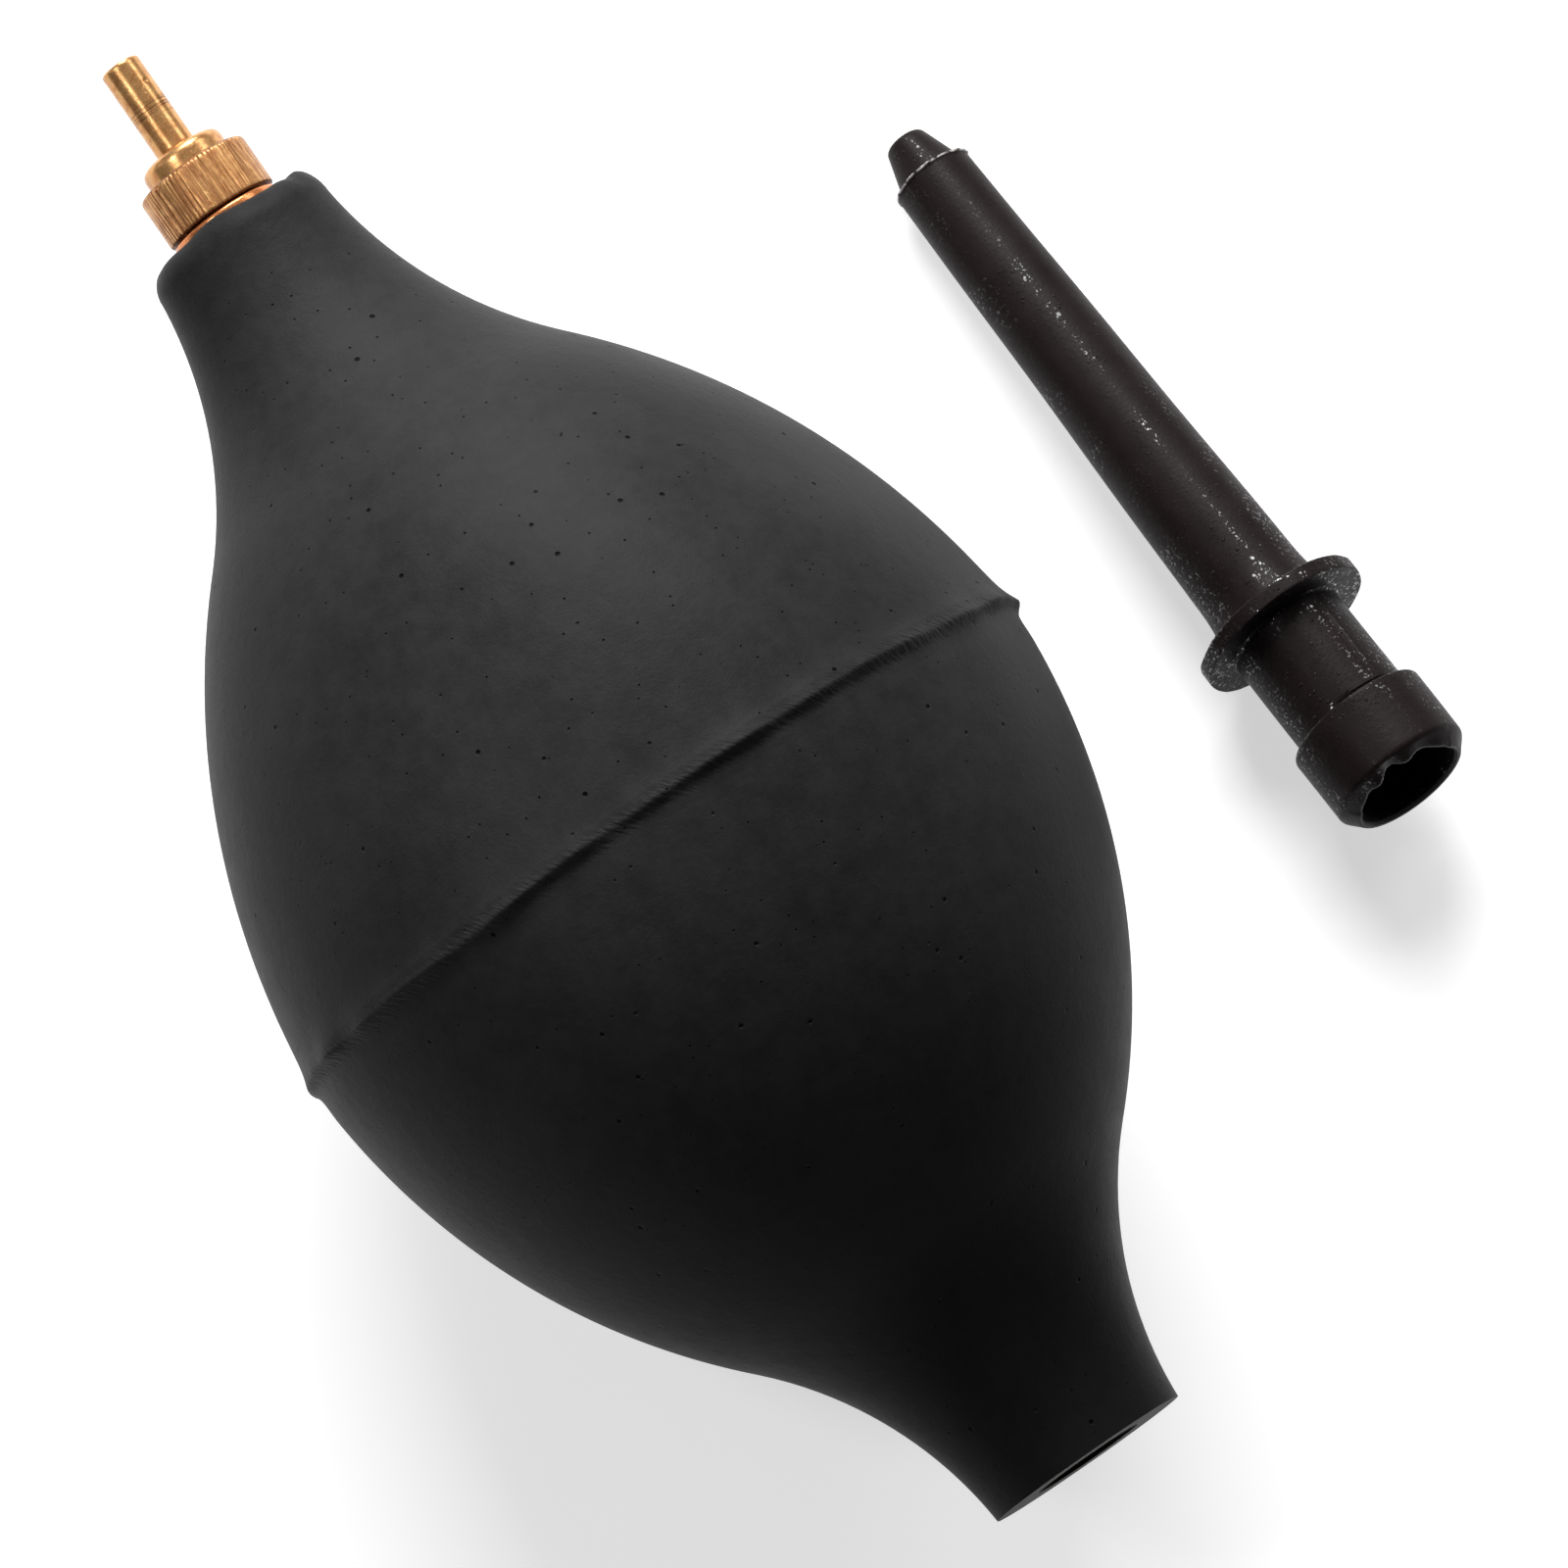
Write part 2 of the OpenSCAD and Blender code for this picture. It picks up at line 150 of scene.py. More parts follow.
def turned(name, line, columns, place, shift=None):
    """A ring-shaped mesh: the closed line turned round Z, then moved by shift."""
    around = np.linspace(0, 2 * math.pi, columns, endpoint=False)[None, :]
    radius, height = (np.repeat(line[:, k : k + 1], columns, axis=1) for k in (0, 1))
    if shift:
        radius, height = shift(radius, height, around)
    rest = np.stack([radius * np.cos(around), radius * np.sin(around), height], -1)
    row, column = np.meshgrid(np.arange(len(line)), np.arange(columns), indexing="ij")
    row_on, column_on = (row + 1) % len(line), (column + 1) % columns
    pairs = ((row, column), (row, column_on), (row_on, column_on), (row_on, column))
    faces = np.stack([r * columns + c for r, c in pairs], -1).reshape(-1, 4)
    return built(name, rest.reshape(-1, 3), faces.tolist(), place)


def uneven(seed, size, turns, per_mm, terms=14):
    """A smooth random height in mm over angle and height: a sum of seeded waves."""
    draw = np.random.default_rng(seed)
    count = draw.integers(0, turns + 1, terms)
    climb = draw.uniform(-per_mm, per_mm, terms) * 2 * math.pi
    start = draw.uniform(0, 2 * math.pi, terms)

    def at(angle, height):
        waves = (np.cos(n * angle + k * height + s) for n, k, s in zip(count, climb, start))
        return size * math.sqrt(2 / terms) * sum(waves)

    return at


def hump(value, middle, width):
    """1 at the middle, falling smoothly to 0 about two widths away."""
    return np.exp(-(((value - middle) / width) ** 2))


def apart(angle, middle):
    """The signed angle from middle, the short way round."""
    return (angle - middle + math.pi) % (2 * math.pi) - math.pi


# %% [markdown]
# ## Writing finishes as sums
# A finish is a small network of nodes. Wiring each node by hand hides the idea, so one
# class wraps a socket and lets `+`, `-`, `*` and `/` add the Math nodes. A second class
# holds the material, and one method of it adds any other node: its settings are set
# first, then its inputs, which may be numbers or wires.

# %% A socket that does arithmetic


class Wire:
    """An output socket of a finish. Arithmetic on it adds Math nodes."""

    def __init__(self, finish, socket):
        self.finish, self.socket = finish, socket

    def math(self, operation, *others):
        inputs = dict(enumerate((self, *others)))
        return self.finish.node("ShaderNodeMath", {"operation": operation}, inputs)

    def __add__(self, other):
        return self.math("ADD", other)

    def __mul__(self, other):
        return self.math("MULTIPLY", other)

    def __sub__(self, other):
        return self.math("SUBTRACT", other)

    def __truediv__(self, other):
        return self.math("DIVIDE", other)

    def __rsub__(self, other):
        return self * -1 + other

    __radd__, __rmul__ = __add__, __mul__

    def between(self, low, high):
        """0 below low, 1 above high and smooth between them. low may be above high."""
        limits = {"Value": self, "From Min": low, "From Max": high}
        settings = {"interpolation_type": "SMOOTHSTEP"}
        return self.finish.node("ShaderNodeMapRange", settings, limits)


class Finish:
    """One material, and the nodes that feed its surface shader."""

    def __init__(self, name, **steady):
        self.material = bpy.data.materials.new(name)
        self.material.use_nodes = True
        self.tree = self.material.node_tree
        self.shader = self.tree.nodes["Principled BSDF"]
        for socket, value in steady.items():
            self.shader.inputs[socket.replace("_", " ")].default_value = value

    def node(self, kind, settings=None, inputs=None, output=0):
        made = self.tree.nodes.new(kind)
        for key, value in (settings or {}).items():
            setattr(made, key, value)
        for key, value in (inputs or {}).items():
            if isinstance(value, Wire):
                self.tree.links.new(value.socket, made.inputs[key])
            else:
                made.inputs[key].default_value = value
        return Wire(self, made.outputs[output])

    def rest(self):
        """Each point's unbent place on its piece, in mm."""
        return self.node("ShaderNodeAttribute", {"attribute_name": "rest"}, output="Vector")

    def stretch(self, place, by):
        """The place with its three directions scaled by the three factors."""
        return self.node("ShaderNodeVectorMath", {"operation": "MULTIPLY"}, {0: place, 1: by})

    def noise(self, place, per_mm, detail=3.0, rough=0.5):
        inputs = {"Vector": place, "Scale": per_mm, "Detail": detail, "Roughness": rough}
        return self.node("ShaderNodeTexNoise", None, inputs)

    def dots(self, place, per_mm, size_mm):
        """1 inside small round spots scattered through space, 0 outside them."""
        near = self.node("ShaderNodeTexVoronoi", None, {"Vector": place, "Scale": per_mm})
        return near.between(size_mm * per_mm, size_mm * per_mm * 0.4)

    def part(self, place, axis):
        """One direction of a place: 0 is X, 1 is Y and 2 is Z."""
        return self.node("ShaderNodeSeparateXYZ", None, {0: place}, axis)

    def off_axis(self, place):
        """The distance of a place from the piece's axis, in mm."""
        across = (self.part(place, axis).math("POWER", 2.0) for axis in (0, 1))
        return sum(across).math("SQRT")

    def mix(self, share, a, b):
        """Colour a where share is 0 and colour b where it is 1."""
        a, b = (c if isinstance(c, Wire) else (*c, 1.0) for c in (a, b))
        return self.node("ShaderNodeMix", {"data_type": "RGBA"}, {0: share, 6: a, 7: b}, 2)

    def set(self, socket, wire):
        self.tree.links.new(wire.socket, self.shader.inputs[socket])

    def relief(self, height_mm):
        """Surface relief from a height in mm."""
        bumped = {"Height": height_mm, "Distance": MM, "Strength": 1.0}
        self.set("Normal", self.node("ShaderNodeBump", None, bumped))

    def on(self, *pieces):
        for piece in pieces:
            piece.data.materials.clear()
            piece.data.materials.append(self.material)


print("helpers ready")

# %% [markdown]
# ## The camera
# The tool is looked down on from about 72 degrees, from far enough away that its lines
# stay nearly parallel. The camera stands on a line through a point in the middle of the
# set, and its lens follows from the width of the view there.

# %% Camera
AIM = Vector((-5.50, 1.88, 20)) * MM
LOOKS_DOWN, HEADING = math.radians(71.65), math.radians(-35.23)
STANDS_OFF, VIEW_WIDE = 0.9, 117.4 * MM
level = Vector((math.cos(HEADING), math.sin(HEADING), 0))
look = level * math.cos(LOOKS_DOWN) + DOWN * math.sin(LOOKS_DOWN)
camera = bpy.data.objects.new("camera", bpy.data.cameras.new("camera"))
camera.location = AIM - look * STANDS_OFF
camera.rotation_euler = look.to_track_quat("-Z", "Y").to_euler()
camera.data.lens = camera.data.sensor_width * STANDS_OFF / VIEW_WIDE
bpy.context.scene.collection.objects.link(camera)
bpy.context.scene.camera = camera
print("lens", round(camera.data.lens, 1), "mm")

# %% [markdown]
# ## Floor and light
# Black rubber hardly shows its form, so it wants few, soft lamps and not much light from
# all round. An even white sky would be simpler, but it would flatten the bulb. One wide
# lamp stands beyond the jet and does most of the work. Three weak, small ones shape the
# right edge, the top and the left edge. Brass mirrors the lamps as bright stripes. The
# floor is a plain pale sheet. It is mirrored in the tool but doesn't light it.

# %% Floor and lamps
PAPER_GLOW = 0.60  # the sheet is lit from behind, which takes the weight out of the shadows
WHITE = (1, 1, 1, 1)
paper = Finish("pale_floor", Roughness=0.9, Emission_Color=WHITE, Emission_Strength=PAPER_GLOW)
grain = paper.noise(paper.node("ShaderNodeTexCoord", output="Object"), 40.0)
paper.set("Base Color", paper.mix(grain, (0.56, 0.56, 0.56), (0.60, 0.60, 0.60)))
bpy.ops.mesh.primitive_plane_add(size=6, location=(0, 0, 0))
floor = bpy.context.object
floor.name = "floor"
paper.on(floor)
floor.visible_diffuse = False

LAMP_DISTANCE = 0.95


def lamp(name, toward, size, strength):
    """A square soft lamp that way from the set. A white sheet facing it shines at strength."""
    light = bpy.data.lights.new(name, "AREA")
    light.shape, light.size = "SQUARE", size
    light.energy = strength * (math.pi * LAMP_DISTANCE) ** 2
    stand = bpy.data.objects.new(name, light)
    stand.location = AIM + Vector(toward).normalized() * LAMP_DISTANCE
    stand.rotation_euler = (AIM - stand.location).to_track_quat("-Z", "Y").to_euler()
    bpy.context.scene.collection.objects.link(stand)


lamp("front", (0.72, -0.30, 0.63), 0.56, 1.75)
lamp("right_rim", (0.24, -0.78, 0.60), 0.26, 0.12)
lamp("left_top", (0.24, 0.50, 0.84), 0.20, 0.20)
lamp("left_low", (0.55, 0.75, 0.36), 0.30, 0.03)
world = bpy.data.worlds.new("studio")
bpy.context.scene.world = world
world.use_nodes = True
world.node_tree.nodes["Background"].inputs["Color"].default_value = WHITE
world.node_tree.nodes["Background"].inputs["Strength"].default_value = 0.05
bpy.context.scene.view_settings.view_transform = "Standard"

# %% [markdown]
# ## The rubber bulb
# The real bulb is one hollow moulding. Its outline is a belly arc that runs smoothly into
# a neck arc at each end. The mould's two halves met at the widest circle and left a ridge
# of flash there: a soft rise on the jet side, and a sharp fall on the other. It could be
# a subdivided cage, but a turned grid holds the exact arcs, and the ridge, the lumpy rim
# and the slight unevenness of hand-finished rubber are pushed into it by functions.

# %% Outline of the bulb
BELLY_R, RIDGE_R, WALL = 31.5, 32.0, 2.6
FRONT_LEN, REAR_LEN, BORE_R, BORE_LEN = 57.0, 54.8, 4.4, 8.2
FRONT_ROUND = 2.6


def half_radius(belly, shift, neck, waist, reach, inset=0.0):
    """Radius at a distance from the widest circle: a belly arc, then a neck arc."""
    y = BELLY_R - math.sqrt(belly**2 - shift**2)
    x = shift + math.sqrt((belly + neck) ** 2 - (waist + neck - y) ** 2)
    meet = shift + (x - shift) * (belly - inset) / (belly + neck)
    on_belly = y + np.sqrt(np.maximum((belly - inset) ** 2 - (reach - shift) ** 2, 0))
    on_neck = waist + neck - np.sqrt(np.maximum((neck + inset) ** 2 - (reach - x) ** 2, 0))
    return np.where(reach < meet, on_belly, on_neck)


FRONT_HALF = {"belly": 60.4, "shift": -5.1, "neck": 34.0, "waist": 7.3}
REAR_HALF = {"belly": 53.5, "shift": -1.4, "neck": 30.3, "waist": 8.0}


def bulb_radius(height, inset=0.0):
    front = half_radius(**FRONT_HALF, reach=height, inset=inset)
    rear = half_radius(**REAR_HALF, reach=-height, inset=inset)
    return np.where(height > 0, front, rear)


def bulb_line():
    """The closed line: skin, rounded front rim, bore, cavity and the rear bore."""
    rim_z = FRONT_LEN - FRONT_ROUND
    near_ridge = np.arange(-3.0, 3.01, 0.15)
    behind, ahead = np.arange(-REAR_LEN, -3.2, 0.9), np.arange(3.4, rim_z - 0.1, 0.9)
    skin = np.concatenate([behind, near_ridge, ahead])
    rim_r = bulb_radius(np.array(rim_z)) - FRONT_ROUND
    turn = np.radians(np.arange(0, 91, 7.5))
    rim = np.stack([rim_r + FRONT_ROUND * np.cos(turn), rim_z + FRONT_ROUND * np.sin(turn)], 1)
    front_in, rear_in = FRONT_LEN - BORE_LEN, -(REAR_LEN - BORE_LEN)
    cavity = np.linspace(front_in, rear_in, 60)
    bore = np.array([(BORE_R + 0.15, FRONT_LEN), (BORE_R, FRONT_LEN - 0.15), (BORE_R, front_in)])
    rear = np.array([(BORE_R, rear_in), (BORE_R, -REAR_LEN)])
    out = [np.stack([bulb_radius(skin), skin], 1), rim, bore]
    return np.concatenate([*out, np.stack([bulb_radius(cavity, WALL), cavity], 1), rear])


line = bulb_line()
print("bulb outline:", len(line), "points, widest", round(line[:, 0].max(), 2), "mm")

# %% Faults of the moulding
swell = uneven(3, 0.10, 4, 1 / 60)
crest_drift = uneven(5, 0.10, 14, 0)
crest_height = uneven(8, 0.10, 40, 0)
rim_wave = uneven(11, 0.09, 9, 0)


def mould_faults(radius, height, around):
    """Pushes the skin about: a slow swell, the flash ridge and the lumpy front rim."""
    outside = radius > bulb_radius(height) - 0.9
    across = height - crest_drift(around, 0)
    tall = 0.46 + crest_height(around, 0)
    rise = np.exp(-((np.maximum(across, 0) / 1.15) ** 1.3)) * tall
    fall = hump(np.minimum(across, 0), 0, 0.55) * tall
    groove = 0.05 * hump(across, -1.5, 0.9)
    ridge = np.where(across > 0, rise, fall) - groove
    ends = np.clip((FRONT_LEN - np.abs(height)) / 12, 0, 1)
    radius = radius + np.where(outside, ridge + swell(around, height) * ends, 0)
    at_rim = np.clip((height - 54.2) / 2.2, 0, 1)
    outer_rim = np.clip((radius - 5.4) / 1.2, 0, 1)
    lump = 0.55 * hump(apart(around, TOWARD_RIGHT), 0.05, 0.52) * outer_rim
    notch = -0.30 * hump(apart(around, TOWARD_RIGHT), -0.58, 0.14)
    mouth_dip = -0.45 * (1 - outer_rim)
    height = height + at_rim * (rim_wave(around, 0) + lump + notch + mouth_dip)
    return radius, height


bulb_skin = turned("bulb_skin", line, 384, bulb_place, mould_faults)

# %% [markdown]
# ## Rubber
# Moulded black rubber is never one even black. It carries a faint grey bloom, tiny air
# pits, a few short scuffs, and small tooth marks where the flash was trimmed from the
# ridge. Its grey is also painted darker toward the rear neck, as painted shade. All of
# this could be painted, but noise at the true scale, read at each point's unbent place,
# needs no picture and doesn't slide when the wall is pressed in.

# %% Rubber finish
rubber = Finish("black_rubber", Specular_IOR_Level=0.05)
spot = rubber.rest()
bloom = rubber.noise(spot, 0.05, 2.0).between(0.35, 0.65)
mottle = rubber.noise(spot, 0.45, 7.0, 0.72).between(0.25, 0.75)
skin_grain = rubber.noise(spot, 5.0, 5.0, 0.6)
pits = rubber.dots(spot, 0.36, 0.24) + rubber.dots(spot, 0.8, 0.11)
brushed = rubber.noise(rubber.stretch(spot, (1.3, 0.35, 0.16)), 1.0, 3.0)
scuffs = brushed.between(0.70, 0.80) * rubber.noise(spot, 0.12).between(0.56, 0.66)
height = rubber.part(spot, 2)
side, top = rubber.part(spot, 1) * -1, rubber.part(spot, 0) * -1
along_ridge = side.math("ARCTAN2", top) * RIDGE_R
slant = {0: along_ridge * 2.8 + height * 2.4, 1: height}
slanted = rubber.node("ShaderNodeCombineXYZ", None, slant)
near_ridge = height.between(-1.5, -0.5) * height.between(1.0, 0.2)
teeth = rubber.noise(slanted, 1.0, 2.0) * near_ridge
# painted shade: the share of lighter grey falls to a quarter toward the rear neck
rear_painted_shade = height.between(-44.0, -8.0) * 0.75 + 0.25
share = (mottle * 0.3 + bloom * 0.25 + 0.32) * rear_painted_shade
grey = rubber.mix(share, (0.007, 0.007, 0.007), (0.036, 0.036, 0.0363))
grey = rubber.mix(scuffs * 0.15, grey, (0.06, 0.06, 0.062))
grey = rubber.mix(teeth.between(0.45, 0.75) * 0.6, grey, (0.009, 0.009, 0.009))
rubber.set("Base Color", rubber.mix(pits, grey, (0.001, 0.001, 0.001)))
rubber.set("Roughness", mottle * 0.07 + skin_grain * 0.12 + 0.40)
rubber.relief(mottle * 0.03 + skin_grain * 0.025 - pits * 0.15 - teeth * 0.14)
rubber.on(bulb_skin)

PRESS_FROM, PRESS_TO = 8.6, 33.0  # heights above the axis where a squeeze would start to move the skin; nothing here bends it
upward = -Vector(joints["squeeze"]["axis"])
centre = bulb_place.translation
press_ends = (centre + upward * h * MM for h in (PRESS_FROM, PRESS_TO))
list(press_ends)
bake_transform(bulb_skin)
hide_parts("rubber_bulb", "thumb_wall")
print("the skin follows the thumb over", PRESS_TO - PRESS_FROM, "mm")

# %% [markdown]
# ## Brass
# The brass pieces are turned from bar. Bare brass that is handled a lot keeps a bright
# gold where it rubs and turns brown in fine specks. Two finishes are enough: smooth
# turned brass, and the duller brass of the knurled nut, whose grooves hold dirt. Both
# come from one function, so that their golds agree.

# %% Brass finishes
BARREL_END = FRONT_LEN + 0.3  # height of the outlet fitting's shoulder
THREAD_END = BARREL_END + 2.35
WASHER_END = THREAD_END + 0.5
FLANGE_END = WASHER_END + 0.7
BOSS_END = FLANGE_END + 2.5
JET_END = BOSS_END + 7.8
MARKS_AT = JET_END - 4.4  # middle of the tool marks on the tube
NUT_R = 4.55
GOLD, DEEP_GOLD, BROWN = (0.75, 0.41, 0.16), (0.54, 0.24, 0.08), (0.18, 0.065, 0.022)
COPPER = (0.82, 0.27, 0.09)


def brass(name, tarnish, rough):
    """A brass finish, with a place in mm, its mottling and its brown specks."""
    finish = Finish(name, Metallic=0.66)
    spot = finish.rest()
    mottle = finish.noise(spot, 1.3, 5.0, 0.62)
    specks = finish.noise(spot, 6.5, 5.0, 0.75).between(0.52, 0.68) * tarnish * 0.75
    specks = specks + finish.dots(spot, 1.7, 0.08) * 0.6
    rings = finish.noise(finish.stretch(spot, (0.25, 0.25, 9.0)), 1.0, 3.0)
    gold = finish.mix(mottle.between(0.35, 0.7) * tarnish, GOLD, DEEP_GOLD)
    finish.set("Roughness", mottle * 0.08 + specks * 0.3 + rings * 0.05 + rough)
    return finish, spot, gold, specks, rings


smooth_brass, spot, gold, specks, rings = brass("turned_brass", 0.95, 0.16)
up = smooth_brass.part(spot, 2)
tool_marks = up.between(MARKS_AT - 1.0, MARKS_AT - 0.6) * up.between(MARKS_AT + 1.0, MARKS_AT + 0.5)
scored = rings.between(0.50, 0.60) * tool_marks
redder = up.between(BARREL_END + 0.5, BARREL_END - 0.1) * up.between(0.0, 1.0) * 0.9  # outlet only
gold = smooth_brass.mix(redder, gold, COPPER)
smooth_brass.set("Base Color", smooth_brass.mix(specks + scored * 0.8, gold, BROWN))
smooth_brass.relief(rings * 0.008 - specks * 0.004)

knurled_brass, spot, gold, specks, rings = brass("knurled_brass", 1.0, 0.26)
groove = knurled_brass.off_axis(spot).between(NUT_R - 0.01, NUT_R - 0.15)
streaks = knurled_brass.noise(knurled_brass.stretch(spot, (7.0, 7.0, 0.4)), 1.0, 3.0)
dull = knurled_brass.mix(streaks.between(0.42, 0.60) * 0.85, gold, (0.36, 0.14, 0.05))
dull = knurled_brass.mix(groove * 0.9 + specks * 0.7, dull, BROWN)
knurled_brass.set("Base Color", dull)
knurled_brass.relief(streaks * 0.02 - specks * 0.01)
print("two brass finishes")

# %% [markdown]
# ## The jet
# The jet is three turned pieces: a thin tube, a collar with a round-shouldered boss, and
# the outlet fitting, whose thread the nut screws onto. Each could be stacked cylinders,
# but light on brass is all in the edges, so each one is a turned outline with its edges
# eased. The tube has a little nick and turned rings. The fitting gets a true helix for
# its thread, made by lowering the skin where a ramp round the axis says so.

# %% Jet tube
TUBE_R, TUBE_BORE_R, SPIGOT_R = 1.5875, 0.8, 1.4
RELIEF = 0.2
tube_line = eased([
    (SPIGOT_R, FLANGE_END, 0), (SPIGOT_R, BOSS_END + RELIEF, 0),
    (TUBE_R, BOSS_END + RELIEF, 0.05), (TUBE_R, JET_END, 0.28),
    (TUBE_BORE_R, JET_END, 0.22), (TUBE_BORE_R, FLANGE_END, 0),
])
tube_wave = uneven(21, 0.003, 4, 0.08)
NICK_AT, NICK_ANGLE = JET_END - 2.25, TOWARD_EYE + 0.75


def tube_faults(radius, height, around):
    nick = hump(apart(around, NICK_ANGLE), 0, 0.09) * hump(height, NICK_AT, 0.12)
    return np.where(radius > 1.2, radius + tube_wave(around, height) - 0.09 * nick, radius), height


jet_tube = turned("jet_tube_turned", spaced(tube_line, 0.12), 160, bulb_place, tube_faults)
smooth_brass.on(jet_tube)
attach(jet_tube, "jet")
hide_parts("jet_tube")

# %% Jet collar
FLANGE_R, BOSS_R = 3.72, 3.4
collar_line = eased([
    (TUBE_BORE_R, WASHER_END, 0), (TUBE_BORE_R, FLANGE_END, 0), (SPIGOT_R, FLANGE_END, 0),
    (SPIGOT_R, BOSS_END, 0.1), (BOSS_R, BOSS_END, 0.85), (BOSS_R, FLANGE_END, 0.05),
    (FLANGE_R, FLANGE_END, 0.05), (FLANGE_R, WASHER_END, 0.05),
], 8)
collar_wave = uneven(22, 0.02, 4, 0.1)


def collar_faults(radius, height, around):
    return np.where(radius > 2, radius - np.abs(collar_wave(around, height)), radius), height


jet_collar = turned("jet_collar_turned", spaced(collar_line, 0.12), 160, bulb_place, collar_faults)
smooth_brass.on(jet_collar)
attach(jet_collar, "jet")
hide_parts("jet_collar")

# %% Outlet fitting with its thread
OUTLET_IN, OUTLET_SEAT, HOLE_R, CHAMBER_R = 45.55, 52.15, 1.2, 2.6
BEAD_R, BEAD_TOP, BARREL_R, THREAD_R = 5.3, 48.75, 4.45, 3.8
PITCH, THREAD_DEPTH = 0.75, 0.32
outlet_line = eased([
    (HOLE_R, OUTLET_IN, 0.15), (HOLE_R, OUTLET_SEAT, 0),
    (CHAMBER_R, OUTLET_SEAT + CHAMBER_R - HOLE_R, 0), (CHAMBER_R, THREAD_END, 0.1),
    (THREAD_R, THREAD_END, 0.1), (THREAD_R, BARREL_END, 0.05), (BARREL_R, BARREL_END, 0.3),
    (BARREL_R, BEAD_TOP, 0), (BEAD_R, BEAD_TOP, 0.1), (BEAD_R, OUTLET_IN, 0.6),
])


def cut_thread(radius, height, around):
    """Lowers the spigot's skin along a helix, with the groove fading out at both ends."""
    turn = (height / PITCH - around / (2 * math.pi)) % 1.0
    groove = 1 - np.abs(2 * turn - 1)
    ends = np.clip((height - BARREL_END - 0.1) / 0.3, 0, 1)
    ends = ends * np.clip((THREAD_END - height) / 0.2, 0, 1)
    on_spigot = (radius > 3.4) & (radius < THREAD_R + 0.02)
    return np.where(on_spigot, radius - THREAD_DEPTH * groove * ends, radius), height


outlet_fitting = turned("outlet_fitting", spaced(outlet_line, 0.09), 128, bulb_place, cut_thread)
smooth_brass.on(outlet_fitting)
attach(outlet_fitting, "bulb")
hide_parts("outlet_valve_body")

# %% [markdown]
# ## The knurled nut
# The nut holds the collar down on its washer. Its straight knurls were rolled in, and
# years of fingers have worn them, so some lines are deep and some are almost gone. A
# repeated tooth would look machine-perfect. Here each groove draws its own depth, and a
# slow wave over angle and height wears them down unevenly.

# %% Knurled nut
NUT_H, PLATE_T, NUT_BORE_R, PLATE_BORE_R = 4.2, 0.8, 3.85, 3.45
NUT_END = FLANGE_END + PLATE_T
NUT_START = NUT_END - NUT_H
KNURLS, KNURL_COLUMNS, KNURL_DEPTH = 72, 10, 0.13
nut_line = eased([
    (NUT_BORE_R, NUT_START, 0.12), (NUT_R, NUT_START, 0.22), (NUT_R, NUT_END, 0.42),
    (PLATE_BORE_R, NUT_END, 0.1), (PLATE_BORE_R, NUT_END - PLATE_T, 0.05),
    (NUT_BORE_R, NUT_END - PLATE_T, 0),
])
knurl_draw = np.random.default_rng(31)
knurl_depths = knurl_draw.uniform(0.15, 1.0, KNURLS) ** 1.3
knurl_steps = knurl_draw.uniform(-0.28, 0.28, KNURLS)
knurl_wear = uneven(32, 0.35, 6, 0.18)


def knurl(radius, height, around):
    """Cuts V grooves of uneven depth into the rim, worn away where the wave is low."""
    turn = around / (2 * math.pi) * KNURLS
    which = np.floor(turn).astype(int) % KNURLS
    off_middle = np.abs((turn % 1.0) - 0.5 - knurl_steps[which] * 0.5)
    groove = np.clip(1 - off_middle / 0.22, 0, 1)
    depth = KNURL_DEPTH * knurl_depths[which] * np.clip(0.75 + knurl_wear(around, height), 0.12, 1)
    on_rim = np.clip((radius - NUT_R + 0.25) / 0.2, 0, 1)
    return radius - groove * depth * on_rim, height


nut = turned("nut_knurled", spaced(nut_line, 0.16), KNURLS * KNURL_COLUMNS, bulb_place, knurl)
knurled_brass.on(nut)
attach(nut, "nut")
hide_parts("knurled_nut")

# %% [markdown]
# ## The inlet valve and the small parts inside
# The inlet fitting shows only as a disc in the rear neck, so a turned outline is enough.
# The balls, the washer and the retainer could be remade too, but they already have the
# right shape in CAD. They stay, and each gets a finish of its own: ground steel, pressed
# fibre or stamped brass. The drawn wire is for the spring, which comes next.

# %% Inlet fitting
INLET_OUT, INLET_IN, INLET_BEAD_LOW = -54.3, -43.35, -46.55
INLET_SEAT = -48.729
inlet_line = eased([
    (HOLE_R, INLET_OUT, 0.35), (BARREL_R - 0.05, INLET_OUT, 0.3),
    (BARREL_R - 0.05, INLET_BEAD_LOW, 0), (BEAD_R, INLET_BEAD_LOW, 0.1), (BEAD_R, INLET_IN, 0.6),
    (CHAMBER_R, INLET_IN, 0.1), (CHAMBER_R, INLET_SEAT + CHAMBER_R - HOLE_R, 0),
    (HOLE_R, INLET_SEAT, 0),
])
inlet_fitting = turned("inlet_fitting", spaced(inlet_line, 0.2), 96, bulb_place)
smooth_brass.on(inlet_fitting)
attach(inlet_fitting, "bulb")
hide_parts("inlet_valve_body")

# %% Finishes of the CAD parts inside


def worked(name, light, dark, metallic, rough, per_mm, depth_mm):
    """A finish for a CAD part: two tones and a relief from one noise."""
    finish = Finish(name, Metallic=metallic)
    place = finish.node("ShaderNodeTexCoord", output="Object")
    place = finish.stretch(place, (1 / MM,) * 3)
    grain = finish.noise(place, per_mm, 4.0, 0.6)
    finish.set("Base Color", finish.mix(grain, light, dark))
    finish.set("Roughness", grain * 0.25 + rough)
    finish.relief(grain * depth_mm)
    return finish


